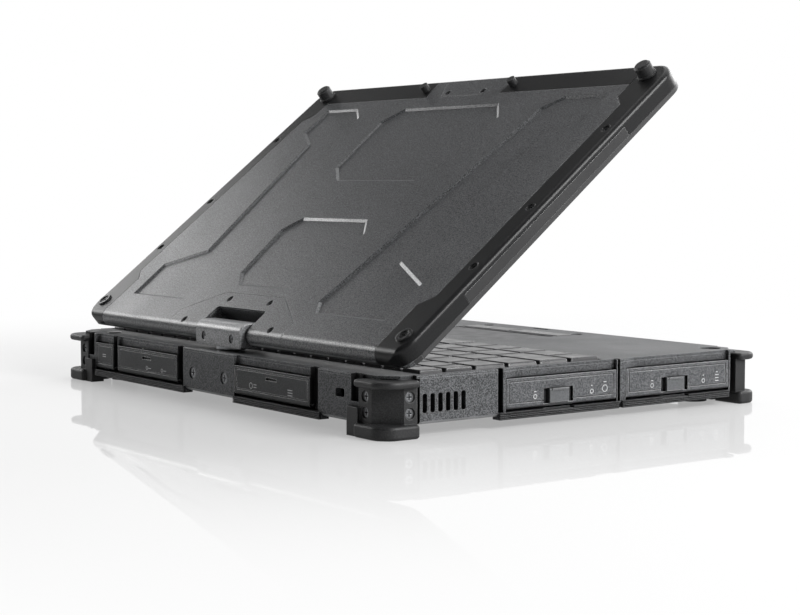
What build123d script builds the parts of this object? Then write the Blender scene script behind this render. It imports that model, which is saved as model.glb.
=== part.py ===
"""Rugged convertible laptop computer: base, centre swivel hinge and folding display lid.

Millimetres, +Z up. X is the user's right, Y points to the rear edge, and the origin is on the
table under the middle of the base. The lid is drawn closed and then turned to its stored angle.
"""
from build123d import *
from math import cos, radians, sin
import os

os.makedirs("parts", exist_ok=True)

# ---------------------------------------------------------------- base
body_width = 293.0
body_depth = 217.0
deck_height = 26.4
deck_thickness = 1.4
underside_height = 5.5
floor_thickness = 2.0
wall = 3.5
bottom_chamfer = 1.2
bumper_proud = 3.4
rear_bumper_proud = 4.0
front_bumper_proud = 7.0
bumper_mid_proud = 0.5
front_bumper_mid_proud = 4.5
bumper_corner_cut = 5.5
bumper_rounding = 8.0
bumper_end_rounding = 2.0
bumper_edge = 1.4
bumper_seat_depth = 2.5
seat_corner_chamfer = 7.0
bumper_foot_top = 6.0
bumper_flange_bottom = 21.4
bumper_top = 24.7
bumper_reach = 18.5
rear_bumper_side = 17.9
rear_bumper_gap = 1.7
front_bumper_side = 11.0
front_bumper_gap = 3.4

# ---------------------------------------------------------------- doors and covers
door_bottom = 7.8
door_top = 21.6
door_thickness = 3.0
door_gap = 0.4
door_foot_gap = 0.65
door_pin_radius = 0.6
door_pin_length = 1.2
pin_play = 0.05
strip_recess = 2.0
strip_slope = 7.0
sill_bottom = 3.9
sill_proud = 1.2
sill_seat = 4.0
sill_grooves = (4.5, 5.3, 6.1)
latch_length = 11.5
latch_height = 6.4
latch_depth = 1.6
latch_proud = 1.1
latch_ridge = 0.5
latch_play = 0.2
latch_travel = 2.2
latch_bottom = 9.5
side_share = body_depth / 217.0
drive_door_span = (-22.0 * side_share, 43.3 * side_share)
battery_door_span = (12.5 - body_depth / 2, -28.5 * side_share)
media_door_span = (-43.3 * side_share, 22.0 * side_share)
drive_latch_at = 13.2 * side_share
battery_latch_at = -59.6 * side_share
media_latch_at = -10.0 * side_share
dc_cover_span = (99.8, 119.3)
left_cover_span = (30.4, 94.2)
right_cover_span = (-89.2, -25.2)

# ---------------------------------------------------------------- keyboard
side_rim = 3.9
keyboard_from_hinge = 7.7
key_row_pitch = 18.5
number_row_depth = 16.4
function_row_depth = 14.0
function_key_count = 20
key_gap = 1.1
key_cap_height = 2.6
key_top = 28.0
key_travel = 2.0
key_taper = 8.0
stem_radius = 1.6
stem_play = 0.3
tray_top = 22.8
tray_thickness = 1.4
tray_lip = 3.6

# ---------------------------------------------------------------- pointing pad and buttons
pad_width = 80.0
pad_from_keyboard_share = 0.23
pad_depth_share = 0.436
pad_lip = 3.0
pad_button_share = 0.12
button_gap = 0.3
button_lip = 1.0
power_radius = 4.0
power_at = (118.0, body_depth / 2 - 10.5)

# ---------------------------------------------------------------- hinge
hinge_from_rear = 13.2
block_width = 42.0
block_depth = 15.4
block_bottom = 28.3
block_top = 40.3
block_corner = 5.0
swivel_radius = 5.0
swivel_flange_radius = 7.4
swivel_play = 0.05
bearing_bottom = 13.0
tilt_pin_radius = 2.5
tilt_pin_reach = 50.0
tilt_play = 0.05

# ---------------------------------------------------------------- lid
lid_width = 293.0
lid_length = 206.0
lid_thickness = 10.4
lid_corner = 11.0
closed_gap = 2.8
open_angle = 38.3
bezel_thickness = 2.2
lid_floor = 1.8
lid_wall = 3.0
barrel_land = 10.0
strip_thickness = 1.5
hinge_cover_thickness = 1.0
relief_depth = 0.9
relief_taper = 60
lid_edge_rounding = 2.2
panel_seam = 0.2
notch_half_width = 23.0
notch_length = 17.2
screen_width = 262.0
screen_height = 164.0
screen_bottom = 25.0
glass_thickness = 1.2
peg_height = 6.5
peg_radius = 4.25
small_peg_height = 4.0
small_peg_radius = 2.4
peg_across = 134.0
small_peg_across = 37.0
peg_from_top = 9.0
socket_play = 0.9

# ---------------------------------------------------------------- derived places
half_width = body_width / 2
half_depth = body_depth / 2
case_top = deck_height - deck_thickness
case_floor = underside_height + floor_thickness
hinge_y = half_depth - hinge_from_rear
hinge_z = deck_height + closed_gap + lid_thickness / 2
keyboard_half = half_width - side_rim
keyboard_rear = hinge_y - keyboard_from_hinge
keyboard_front = keyboard_rear - 4 * key_row_pitch - number_row_depth - function_row_depth
palm_depth = keyboard_front + half_depth
pad_rear = keyboard_front - pad_from_keyboard_share * palm_depth
pad_depth = pad_depth_share * palm_depth
pad_button_depth = pad_button_share * palm_depth


def block(x0, x1, y0, y1, z0, z1):
    """Box between two opposite corners."""
    centre = Pos((x0 + x1) / 2, (y0 + y1) / 2, (z0 + z1) / 2)
    return centre * Box(abs(x1 - x0), abs(y1 - y0), abs(z1 - z0))


def plan_face(points, z):
    """Level face over a closed outline, facing up whichever way its points run."""
    face = Polygon(*points, align=None)
    if face.face().normal_at().Z < 0:
        face = Polygon(*reversed(points), align=None)
    return Pos(0, 0, z) * face


def prism(points, z0, z1):
    """Upright prism over a closed outline."""
    return extrude(plan_face(points, z0), amount=z1 - z0)


def disc(x, y, z0, z1, radius):
    """Upright cylinder."""
    return Pos(x, y, (z0 + z1) / 2) * Cylinder(radius, z1 - z0)


def rod_x(x0, x1, y, z, radius):
    """Cylinder that lies along X."""
    return Pos((x0 + x1) / 2, y, z) * Rot(0, 90, 0) * Cylinder(radius, x1 - x0)


def both_sides(shape):
    """The shape and its mirror image across the middle of the machine."""
    return shape + mirror(shape, about=Plane.YZ)


def save(shape, name):
    """Write one named piece."""
    shape.label = name
    export_step(shape, "parts/" + name + ".step")


# ---------------------------------------------------------------- wall-mounted work
# A wall item is drawn on the rear wall: X runs along the wall, Y = 0 is its outer face.
def on_wall(shape, side):
    """Carry a shape drawn for the rear wall to its own wall."""
    if side == "left":
        return Pos(-half_width, 0, 0) * Rot(0, 0, 90) * shape
    if side == "right":
        return Pos(half_width, 0, 0) * Rot(0, 0, -90) * shape
    return Pos(0, half_depth, 0) * shape


door_axis_z = door_bottom + door_thickness / 2


def door_blank(span):
    """Drop-down door: flat leaf with a round hinge edge, end pins and an inset border line."""
    start, end = span
    axis_y = -door_thickness / 2
    leaf = block(start, end, -door_thickness, 0, door_axis_z, door_top)
    edge = rod_x(start, end, axis_y, door_axis_z, door_thickness / 2)
    pins = rod_x(start - door_pin_length, end + door_pin_length, axis_y, door_axis_z, door_pin_radius)
    middle = Pos((start + end) / 2, 0, (door_axis_z + door_top) / 2)
    length = end - start
    height = door_top - door_axis_z
    outer = Box(length - 3.2, 0.8, height - 2.4)
    inner = Box(length - 4.2, 0.8, height - 3.4)
    return leaf + edge + pins - middle * (outer - inner)


def latch_room(at):
    """Recess in a door in which its slide latch runs."""
    length = latch_length + 2 * (latch_travel + latch_play) + 1.4
    high = latch_bottom + latch_height + latch_play
    return block(at - length / 2, at + length / 2, -latch_depth, 1, latch_bottom - latch_play, high)


def latch_slider(at):
    """Slide latch with a raised ridge for the thumb."""
    low = at - latch_length / 2
    high = at + latch_length / 2
    top = latch_bottom + latch_height
    plate = block(low, high, latch_play - latch_depth, latch_proud, latch_bottom, top)
    ridge = block(low + 2, high - 1, latch_proud, latch_proud + latch_ridge, top - 0.9, top)
    return chamfer(plate.faces().sort_by(Axis.Y)[-1].edges(), 0.3) + ridge


def finger_slot(at):
    """Short slot by which a soft cover is pulled open."""
    return block(at - 4.7, at + 4.7, -1, 1, 16.9, 18.1)


def door_cut(span, slope):
    """Opening in the case wall for a door, with its pin holes and the recessed strip above it."""
    start, end = span
    low = start - door_gap
    high = end + door_gap
    opening = block(low, high, -wall - 1, 1, door_bottom - door_foot_gap, door_top + door_gap)
    pin_end = door_pin_length + 0.3
    pin_hole_radius = door_pin_radius + pin_play
    axis_y = -door_thickness / 2
    pins = rod_x(start - pin_end, end + pin_end, axis_y, door_axis_z, pin_hole_radius)
    return opening + pins + strip_cut(span, slope)


def strip_cut(span, slope):
    """Recess above a door, up through the deck's edge, with one sloping end."""
    low = span[0] - door_gap
    high = span[1] + door_gap
    outline = [(low, 1), (low, -strip_recess), (high - slope, -strip_recess), (high, 0), (high, 1)]
    return prism(outline, door_top + door_gap, deck_height + 1)


def sill(start, end):
    """Ribbed sill that stands out under a door and hooks under the wall."""
    bar = block(start, end, -1, sill_proud, sill_bottom, door_bottom - door_foot_gap)
    bar += block(start, end, -sill_seat, sill_proud, sill_bottom, underside_height)
    for level in sill_grooves:
        bar -= block(start - 1, end + 1, sill_proud - 0.5, sill_proud + 1, level, level + 0.35)
    return bar


def latch_notch(at):
    """Notch in a sill for the latch when its door hangs open."""
    half = latch_length / 2 + latch_travel + latch_play + 0.4
    drop = door_axis_z - door_thickness / 2 - latch_proud - 0.25
    return block(at - half, at + half, -door_thickness / 2, sill_proud + 1, drop, door_bottom)


side_doors = {
    "drive": ("left", drive_door_span, drive_latch_at),
    "battery": ("left", battery_door_span, battery_latch_at),
    "media": ("right", media_door_span, media_latch_at),
}
rear_covers = {
    "dc": dc_cover_span,
    "port_left": left_cover_span,
    "port_right": right_cover_span,
}
finger_slots = {"port_left": 62.3, "port_right": -57.5}
sills = [
    ("rear", left_cover_span[0] - 8.5, dc_cover_span[1]),
    ("rear", right_cover_span[0] - 9.5, right_cover_span[1]),
    ("left", drive_door_span[0] - 1, drive_door_span[1] + 4.5),
    ("left", battery_door_span[0], battery_door_span[1] + 3),
    ("right", media_door_span[0], media_door_span[1]),
]
# Dark joints between the wall panels: wall, its two ends along the wall, and its lower end.
wall_gaps = [
    ("rear", 94.6, 99.4, 7.2), ("rear", 24.0, 30.0, 7.2), ("rear", -96.3, -89.6, 7.2),
    ("rear", bumper_reach - half_width, -121.5, 14.5), ("rear", 121.5, half_width - bumper_reach, 14.5),
    ("left", drive_door_span[1] + 1.8, drive_door_span[1] + 4.8, 6.9),
    ("left", drive_door_span[0] - 2.6, drive_door_span[0] - 1.0, 6.9),
]

for name, (side, span, latch_at) in side_doors.items():
    save(on_wall(door_blank(span) - latch_room(latch_at), side), name + "_door")
    save(on_wall(latch_slider(latch_at), side), name + "_latch")
for name, span in rear_covers.items():
    cover = door_blank(span)
    if name in finger_slots:
        cover -= finger_slot(finger_slots[name])
    save(on_wall(cover, "rear"), name + "_cover")

# ---------------------------------------------------------------- corner bumpers
core_x = half_width - bumper_seat_depth
core_y = half_depth - bumper_seat_depth
core_outline = [
    (-core_x + seat_corner_chamfer, -core_y),
    (core_x - seat_corner_chamfer, -core_y),
    (core_x, -core_y + seat_corner_chamfer),
    (core_x, core_y - seat_corner_chamfer),
    (core_x - seat_corner_chamfer, core_y),
    (-core_x + seat_corner_chamfer, core_y),
    (-core_x, core_y - seat_corner_chamfer),
    (-core_x, -core_y + seat_corner_chamfer),
]
case_core = prism(core_outline, underside_height, deck_height + 1)


def bumper_outline(proud_x, proud_y, side_run, cut_x, cut_y):
    """Plan of a bumper on the +X +Y corner, flat on both walls with its corner cut off."""
    edge_x = half_width + proud_x
    edge_y = half_depth + proud_y
    near_x = half_width - bumper_reach
    near_y = half_depth - side_run
    return [
        (edge_x, near_y),
        (edge_x, edge_y - cut_y),
        (edge_x - cut_x, edge_y),
        (near_x, edge_y),
        (near_x, near_y + 6),
        (near_x + 6, near_y),
    ]


def rounded_flange(outline, low, high):
    """Flange with its outer corners and ends rounded in plan and its outer edges rounded above and below."""
    flange = prism(outline, low, high)
    upright_edges = flange.edges().filter_by(Axis.Z).sort_by(lambda edge: edge.center().X + edge.center().Y)
    flange = fillet(upright_edges[-2:], bumper_rounding)
    for x, y in (outline[0], outline[3]):
        end_edge = flange.edges().filter_by(Axis.Z).sort_by_distance((x, y, low))[0]
        flange = fillet(end_edge, bumper_end_rounding)
    rims = flange.faces().sort_by(Axis.Z)[-1].edges() + flange.faces().sort_by(Axis.Z)[0].edges()
    outer_rims = [edge for edge in rims if edge.center().X > half_width or edge.center().Y > half_depth]
    return fillet(outer_rims, bumper_edge)


def bumper(side_run, proud_y, mid_proud_y, mid_cut_x, mid_cut_y):
    """Rubber corner guard: foot below, thin waist that carries the screws, and top flange."""
    plan = bumper_outline(bumper_proud, proud_y, side_run, bumper_corner_cut, bumper_corner_cut)
    waist = bumper_outline(bumper_mid_proud, mid_proud_y, side_run, mid_cut_x, mid_cut_y)
    foot = rounded_flange(plan, 0, bumper_foot_top)
    upright = prism(waist, bumper_foot_top - 0.5, bumper_flange_bottom + 0.5)
    top = rounded_flange(plan, bumper_flange_bottom, bumper_top)
    lobe_x = half_width - bumper_reach
    lobe = block(lobe_x - 7, lobe_x + 1, half_depth - 5, half_depth + 2, 0, 12.5)
    return foot + upright + top + lobe - case_core


def screw_room(radius, head, length):
    """Envelope of a screw along +Z with its head's top at the origin."""
    body = Pos(0, 0, -head / 2) * Cylinder(radius, head)
    shank = Pos(0, 0, -head - length / 2) * Cylinder(radius * 0.55, length)
    return body + shank


def screw(radius, head, length):
    """Cross-head screw in that envelope."""
    slot = Pos(0, 0, -0.4) * (Box(radius * 1.2, 0.5, 0.8) + Box(0.5, radius * 1.2, 0.8))
    return screw_room(radius, head, length) - slot


side_screw_y = half_depth - 12.5
end_screw_x = half_width - 14.0
screw_levels = (10.6, 17.5)
waist_x = half_width + bumper_mid_proud
bumper_screw_radius = 2.1
bumper_screw_sink = 0.8
end_screw_grip = 1.8


def end_screws(make, mid_proud_y):
    """The pair that goes in from the end, for the +X +Y corner."""
    group = Part()
    for level in screw_levels:
        place = Pos(end_screw_x, half_depth + mid_proud_y - bumper_screw_sink, level) * Rot(-90, 0, 0)
        group += place * make(bumper_screw_radius, 1.4, end_screw_grip + mid_proud_y)
    return group


def side_screws(make):
    """The pair that goes into a rear bumper from its side."""
    group = Part()
    for level in screw_levels:
        place = Pos(waist_x - bumper_screw_sink, side_screw_y, level) * Rot(0, 90, 0)
        group += place * make(bumper_screw_radius, 1.4, 3.0)
    return group


def counterbore(radius, head, length):
    """Room for a screw and for the driver above its head."""
    return screw_room(radius, head, length) + Pos(0, 0, 1) * Cylinder(radius + 0.4, 2)


rear_run = rear_bumper_side - rear_bumper_gap
front_run = front_bumper_side - front_bumper_gap
rear_bumper = bumper(rear_run, rear_bumper_proud, bumper_mid_proud, 9.7, 10.0)
rear_bumper -= end_screws(counterbore, bumper_mid_proud) + side_screws(counterbore)
front_bumper = bumper(front_run, front_bumper_proud, front_bumper_mid_proud, 6.0, 5.5)
front_bumper -= end_screws(counterbore, front_bumper_mid_proud)
front_bumper = mirror(front_bumper, about=Plane.XZ)
bumpers = {
    "bumper_rear_right": rear_bumper,
    "bumper_rear_left": mirror(rear_bumper, about=Plane.YZ),
    "bumper_front_right": front_bumper,
    "bumper_front_left": mirror(front_bumper, about=Plane.YZ),
}
for name, shape in bumpers.items():
    save(shape, name)


def bumper_screw_set(make):
    """Every bumper screw, made by the given function."""
    front = mirror(end_screws(make, front_bumper_mid_proud), about=Plane.XZ)
    return both_sides(end_screws(make, bumper_mid_proud) + side_screws(make) + front)


def corner_room(side_run):
    """Space outside the seat core at the rear right corner, for a bumper and the gap at its end."""
    low_x = half_width - bumper_reach
    low_y = half_depth - side_run
    return block(low_x, half_width + 5, low_y, half_depth + 10, 0, deck_height + 1) - case_core


corner_rooms = both_sides(corner_room(rear_bumper_side) + mirror(corner_room(front_bumper_side), about=Plane.XZ))
deck_rooms = both_sides(corner_room(rear_run) + mirror(corner_room(front_run), about=Plane.XZ))
save(bumper_screw_set(screw), "bumper_screws")

# ---------------------------------------------------------------- feet and case screws
foot_places = [
    (half_width - 21, half_depth - 20),
    (21 - half_width, half_depth - 20),
    (half_width - 22, 14 - half_depth),
    (22 - half_width, 14 - half_depth),
]
rubber_feet = Part()
for x, y in foot_places:
    rubber_feet += Pos(x, y, underside_height / 2) * Cylinder(7, underside_height)
save(rubber_feet, "rubber_feet")

rear_screw_x = 15.0
rear_screw_z = 14.3
bottom_screw_places = [
    (half_width - 12, 0), (12 - half_width, half_depth - 40), (0, half_depth - 12),
    (0, 12 - half_depth), (half_width - 60, 12 - half_depth), (60 - half_width, 12 - half_depth),
]


case_screw_radius = 2.6


def case_screw_set(make):
    """Screws in the rear middle plate and in the underside."""
    group = Part()
    for x in (-rear_screw_x, rear_screw_x):
        place = Pos(x, half_depth - 0.6, rear_screw_z) * Rot(-90, 0, 0)
        group += place * make(case_screw_radius, 1.4, 1.2)
    for x, y in bottom_screw_places:
        place = Pos(x, y, underside_height + 0.3) * Rot(180, 0, 0)
        group += place * make(case_screw_radius, 1.2, 0.4)
    return group


save(case_screw_set(screw), "case_screws")

# ---------------------------------------------------------------- bottom case
module_floor = 9.9
board_seat = case_floor + 1.0
board_top = board_seat + 1.2
board_front = battery_door_span[1] + 10.5
board_middle = half_depth - 60.5
case_outline = block(-half_width, half_width, -half_depth, half_depth, underside_height, case_top)
low_edges = case_outline.faces().sort_by(Axis.Z)[0].edges()
case = chamfer(low_edges, bottom_chamfer)
case -= block(wall - half_width, half_width - wall, wall - half_depth, half_depth - wall, case_floor, case_top + 1)

all_spans = [("rear", span) for span in rear_covers.values()]
for side, span, latch_at in side_doors.values():
    all_spans.append((side, span))
for side, span in all_spans:
    slope = strip_slope if side != "rear" else door_gap
    case -= on_wall(door_cut(span, slope), side)
for side, start, end in sills:
    case += on_wall(sill(start, end), side)
for side, span, latch_at in side_doors.values():
    case -= on_wall(latch_notch(latch_at), side)

gap_depth = 2.9
for side, start, end, low in wall_gaps:
    case -= on_wall(block(start, end, -gap_depth, 1, low, deck_height + 1), side)
lock_slot = Pos(-113.2, -wall / 2, 17.3) * Rot(90, 0, 0) * extrude(RectangleRounded(7.0, 3.8, 1.2), 5, both=True)
case -= on_wall(lock_slot, "rear")

vent_pitch = 4.15
vent_first = half_depth - 41.3
vent_level = 14.3
for index in range(6):
    at = vent_first + index * vent_pitch
    slot = Pos(at, -wall / 2, vent_level) * Rot(90, 0, 0) * extrude(RectangleRounded(2.5, 8.3, 1.0), 5, both=True)
    case -= on_wall(slot, "left")
    case -= on_wall(mirror(slot, about=Plane.YZ), "right")

battery_reach = (battery_door_span[0] + 4, battery_door_span[1] - 3.5)
drive_reach = (drive_door_span[0] + 4, board_middle - 8)
media_reach = (4 - media_door_span[1], board_middle - 8)
for x0, x1, reach in (
    (-138.0, -130.0, battery_reach), (-24.0, -18.0, battery_reach),
    (-138.0, -130.0, drive_reach), (-50.0, -44.0, drive_reach),
    (130.0, 138.0, media_reach), (44.0, 50.0, media_reach),
):
    case += block(x0, x1, reach[0], reach[1], case_floor, module_floor)
post_rear = half_depth - 10.5
post_front = half_depth - 56.5
posts = [(x, y) for x in (-125, -55, 55, 125) for y in (post_rear, post_front)]
for x, y in posts + [(0, board_front + 6)]:
    case += disc(x, y, case_floor, board_seat, 3)

case -= corner_rooms
for shape in bumpers.values():
    case -= shape
case -= bumper_screw_set(screw_room)
case -= case_screw_set(counterbore)
save(case, "bottom_case")

# ---------------------------------------------------------------- deck
deck = block(-half_width, half_width, -half_depth, half_depth, case_top, deck_height)
deck = chamfer(deck.faces().sort_by(Axis.Z)[-1].edges(), 0.5)
for side, span in all_spans:
    slope = strip_slope if side != "rear" else door_gap
    deck -= on_wall(strip_cut(span, slope), side)
for side, start, end, low in wall_gaps:
    deck -= on_wall(block(start, end, -gap_depth, 1, low, deck_height + 1), side)
tray_opening = keyboard_half
deck -= block(-tray_opening, tray_opening, keyboard_front - 0.5, keyboard_rear + 0.5, case_top - 1, deck_height + 1)
deck -= disc(0, hinge_y, case_top - 1, deck_height + 1, swivel_radius + 0.3)

peg_y = hinge_y - (lid_length - peg_from_top - lid_thickness / 2)
peg_reach = peg_height - closed_gap
for x in (-peg_across, peg_across):
    cup_radius = peg_radius + socket_play
    cup_bottom = deck_height - peg_reach - 0.6
    deck += disc(x, peg_y, cup_bottom - 1.2, case_top, cup_radius + 1.2)
    deck -= disc(x, peg_y, cup_bottom, deck_height + 1, cup_radius)
for x in (-small_peg_across, small_peg_across):
    deck -= disc(x, peg_y, case_top - 1, deck_height + 1, small_peg_radius + socket_play)

pad_front = pad_rear - pad_depth
pad_half = pad_width / 2
button_rear = pad_front - 2.0
button_front = button_rear - pad_button_depth
deck -= block(-pad_half, pad_half, pad_front, pad_rear, case_top - 1, deck_height + 1)
button_hole = button_gap
for sign in (-1, 1):
    near = sign * 0.6
    far = sign * (pad_half + button_hole)
    low = button_front - button_hole
    high = button_rear + button_hole
    deck -= block(near, far, low, high, case_top - 1, deck_height + 1)
deck -= disc(power_at[0], power_at[1], case_top - 1, deck_height + 1, power_radius + button_gap)
deck -= block(-7, 7, 3.4 - half_depth, 6.9 - half_depth, case_top - 1, deck_height + 1)
deck -= deck_rooms
save(deck, "top_cover")

touchpad = block(-pad_half, pad_half, pad_front, pad_rear, case_top, deck_height - 0.3)
touchpad += block(-pad_half - pad_lip, pad_half + pad_lip, pad_front + 0.1, pad_rear + pad_lip, case_top - 1.1, case_top)
save(touchpad, "touchpad")

for name, sign in (("touchpad_button_left", -1), ("touchpad_button_right", 1)):
    near = sign * 0.9
    far = sign * pad_half
    cap = block(near, far, button_front, button_rear, case_top - 1, deck_height + 0.3)
    cap = chamfer(cap.faces().sort_by(Axis.Z)[-1].edges(), 0.3)
    lip = block(sign * 0.3, far + sign * button_lip, button_front - button_lip, button_rear, case_top - 1.1, case_top - 0.1)
    save(cap + lip, name)

power = disc(power_at[0], power_at[1], case_top - 1, deck_height + 0.4, power_radius)
power = chamfer(power.faces().sort_by(Axis.Z)[-1].edges(), 0.3)
power += disc(power_at[0], power_at[1], case_top - 1.1, case_top - 0.1, power_radius + button_lip)
save(power, "power_button")

# ---------------------------------------------------------------- keyboard
key_field = 2 * keyboard_half - 1.2
tray = block(-keyboard_half, keyboard_half, keyboard_front, keyboard_rear, tray_top - tray_thickness, tray_top)
tray_back = block(-keyboard_half, keyboard_half, keyboard_rear, keyboard_rear + 0.5 + tray_lip,
                  tray_top - tray_thickness, case_top)
tray_back -= disc(0, hinge_y, 0, deck_height, swivel_flange_radius + 1)
tray += tray_back
tray += block(-keyboard_half, keyboard_half, keyboard_front - 0.5 - tray_lip, keyboard_front,
              tray_top - tray_thickness, case_top)

# Each row: its depth, then the widths of its keys in shares of the row.
key_rows = [
    ("control_row", key_row_pitch, [16.5, 19.5, 17.5, 18.0, 17.0, 84.0, 18.7, 18.7, 18.7, 18.7, 18.8, 18.9]),
    ("shift_row", key_row_pitch, [34.0] + [18.8] * 10 + [25.3, 18.8, 18.9]),
    ("caps_row", key_row_pitch, [24.5] + [18.8] * 11 + [34.8, 18.9]),
    ("tab_row", key_row_pitch, [19.8] + [18.8] * 12 + [20.7, 18.9]),
    ("number_row", number_row_depth, [10.5] + [18.8] * 12 + [30.0, 18.9]),
    ("function_row", function_row_depth, [1.0] * function_key_count),
]
space_index = 5


def key(x0, x1, y0, y1):
    """Key cap with sloping sides on a guide stem."""
    width = x1 - x0 - key_gap
    depth = y1 - y0 - key_gap
    base = Pos((x0 + x1) / 2, (y0 + y1) / 2, key_top - key_cap_height) * RectangleRounded(width, depth, 1.2)
    return extrude(base, amount=key_cap_height, taper=key_taper)


def stem_places(x0, x1):
    """One stem under a key, two under a wide bar."""
    centre = (x0 + x1) / 2
    if x1 - x0 > 60:
        return [centre - 25, centre + 25]
    return [centre]


row_front = keyboard_front
stem_bottom = tray_top - 0.6
for name, depth, shares in key_rows:
    scale = key_field / sum(shares)
    x = -key_field / 2
    caps = Part()
    space_bar = Part()
    for index, share in enumerate(shares):
        end = x + share * scale
        cap = key(x, end, row_front, row_front + depth)
        row_middle = row_front + depth / 2
        for stem_x in stem_places(x, end):
            cap += disc(stem_x, row_middle, stem_bottom, key_top - key_cap_height, stem_radius)
            tray -= disc(stem_x, row_middle, 0, deck_height, stem_radius + stem_play)
        if name == "control_row" and index == space_index:
            space_bar += cap
        else:
            caps += cap
        x = end
    save(caps, "keys_" + name)
    if name == "control_row":
        save(space_bar, "space_bar")
    row_front += depth
save(tray, "keyboard_tray")

# ---------------------------------------------------------------- inside the base
board = block(-134, 134, board_middle, half_depth - 4.1, board_seat, board_top)
board += block(-38, 38, board_front, board_middle, board_seat, board_top)
board += block(-30, -12, board_middle - 28, board_middle - 10, board_top, board_top + 1.5)
board += block(10, 28, board_middle - 34, board_middle - 14, board_top, board_top + 1.2)
save(board, "motherboard")

sink_front = half_depth - 52.5
sink_rear = half_depth - 20.5
sink = block(-96, -62, sink_front, sink_rear, board_top, board_top + 2.0)
for index in range(9):
    fin_x = -95.5 + index * 4
    sink += block(fin_x, fin_x + 1.4, sink_front, sink_rear, board_top + 1.9, board_top + 9.0)
save(sink, "heat_sink")

fan_x = -119.0
fan_y = half_depth - 33.5
fan_half = 19.0
fan_floor = board_top
fan_top = board_top + 10.5
fan_pin_radius = 1.0
fan_play = 0.05
fan_blade_radius = 15.5
housing = block(fan_x - fan_half, fan_x + fan_half, fan_y - fan_half, fan_y + fan_half, fan_floor, fan_top)
housing -= disc(fan_x, fan_y, fan_floor + 1, fan_top - 1, fan_blade_radius + 1.2)
housing -= disc(fan_x, fan_y, fan_top - 2, fan_top + 1, 11.5)
housing -= block(fan_x - fan_half - 1, fan_x - 10, fan_y - 11, fan_y + 11, fan_floor + 1, fan_top - 1)
housing += disc(fan_x, fan_y, fan_floor, fan_floor + 7, fan_pin_radius)
save(housing, "fan_housing")

rotor = disc(fan_x, fan_y, fan_floor + 1.4, fan_floor + 8.4, 5.5)
blade_reach = fan_blade_radius
for index in range(11):
    blade = Pos((5 + blade_reach) / 2, 0, fan_floor + 4.9) * Box(blade_reach - 5, 0.9, 6.2)
    rotor += Pos(fan_x, fan_y, 0) * Rot(0, 0, index * 360 / 11) * blade
rotor -= disc(fan_x, fan_y, fan_floor, fan_floor + 7.3, fan_pin_radius + fan_play)
save(rotor, "fan_rotor")

card_y = half_depth - 52.5
memory = block(34, 102, card_y, card_y + 4, board_top, board_top + 4)
memory += block(34, 102, card_y + 3, card_y + 30, board_top + 2.2, board_top + 3.4)
memory += block(36, 46, card_y + 8, card_y + 26, board_top + 3.4, board_top + 4.4)
memory += block(90, 100, card_y + 8, card_y + 26, board_top + 3.4, board_top + 4.4)
save(memory, "memory_module")

wireless = block(108, 130, card_y, card_y + 4, board_top, board_top + 3)
wireless += block(108, 130, card_y + 3, card_y + 28, board_top + 1.6, board_top + 2.6)
wireless += block(111, 127, card_y + 8, card_y + 24, board_top + 2.6, board_top + 4.0)
save(wireless, "wireless_card")

speakers = Part()
for x in (-96.0, 96.0):
    box = block(x - 22, x + 22, wall - half_depth + 0.5, wall - half_depth + 7.0, case_floor, case_floor + 11)
    speakers += box - Pos(x, wall - half_depth + 0.5, case_floor + 5.5) * Rot(90, 0, 0) * Cylinder(4, 3)
save(speakers, "speakers")

# Sockets stand on the board with their mouths just behind the covers.
socket_face = half_depth - wall - 0.3


def socket_block(x, width, height, depth, mouth_width, mouth_height, tongue):
    """Connector shell with a shallow mouth and a contact tongue."""
    rear = socket_face
    shell = block(x - width / 2, x + width / 2, rear - depth, rear, board_top, board_top + height)
    middle = board_top + height / 2
    mouth_low = middle - mouth_height / 2
    mouth_high = middle + mouth_height / 2
    mouth = block(x - mouth_width / 2, x + mouth_width / 2, rear - 6, rear + 1, mouth_low, mouth_high)
    contact_half = mouth_width / 2 - 1
    contact = block(x - contact_half, x + contact_half, rear - 7, rear - 1, middle - tongue / 2, middle + tongue / 2)
    return shell - mouth + contact


connectors = socket_block(45, 14, 7.4, 16, 12, 4.6, 1.8)
connectors += socket_block(63, 14, 7.4, 16, 12, 4.6, 1.8)
connectors += socket_block(82, 18, 9.6, 14, 15, 6.6, 4.2)
connectors += socket_block(-40, 18, 9.6, 14, 15, 6.6, 4.2)
connectors += socket_block(-64, 22, 9.6, 14, 18, 6.6, 4.2)
jack = block(104.5, 115.5, socket_face - 13, socket_face, board_top, board_top + 10)
jack -= Pos(110, socket_face - 4, board_top + 5) * Rot(90, 0, 0) * Cylinder(3.2, 10)
jack += Pos(110, socket_face - 5, board_top + 5) * Rot(90, 0, 0) * Cylinder(1.2, 9)
connectors += jack
save(connectors, "rear_connectors")

module_top = 19.8
module_inset = door_thickness + 2.5


def module(depth, low, high, name):
    """Removable module on the left side, with a pull tab at its outer end."""
    outer = module_inset - half_width
    shell = block(outer, outer + depth, low, high, module_floor, module_top)
    shell = chamfer(shell.edges().filter_by(Axis.X), 0.8)
    shell -= block(outer + 8, outer + depth - 8, low + 6, high - 6, module_top - 0.5, module_top + 1)
    tab_middle = (low + high) / 2
    tab = block(outer - 1.6, outer + 1, tab_middle - 8, tab_middle + 8, 13, 16)
    save(shell + tab, name)


module(104, drive_door_span[0] + 2, drive_door_span[1] - 2, "drive_module")
module(130, battery_door_span[0] + 2, battery_door_span[1] - 2, "battery_pack")
media_rear = -media_door_span[0] - 2.3
media = block(half_width - module_inset - 98, half_width - module_inset, 2 - media_door_span[1], media_rear,
              module_floor, module_top)
save(chamfer(media.edges().filter_by(Axis.X), 0.8), "media_module")

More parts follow.
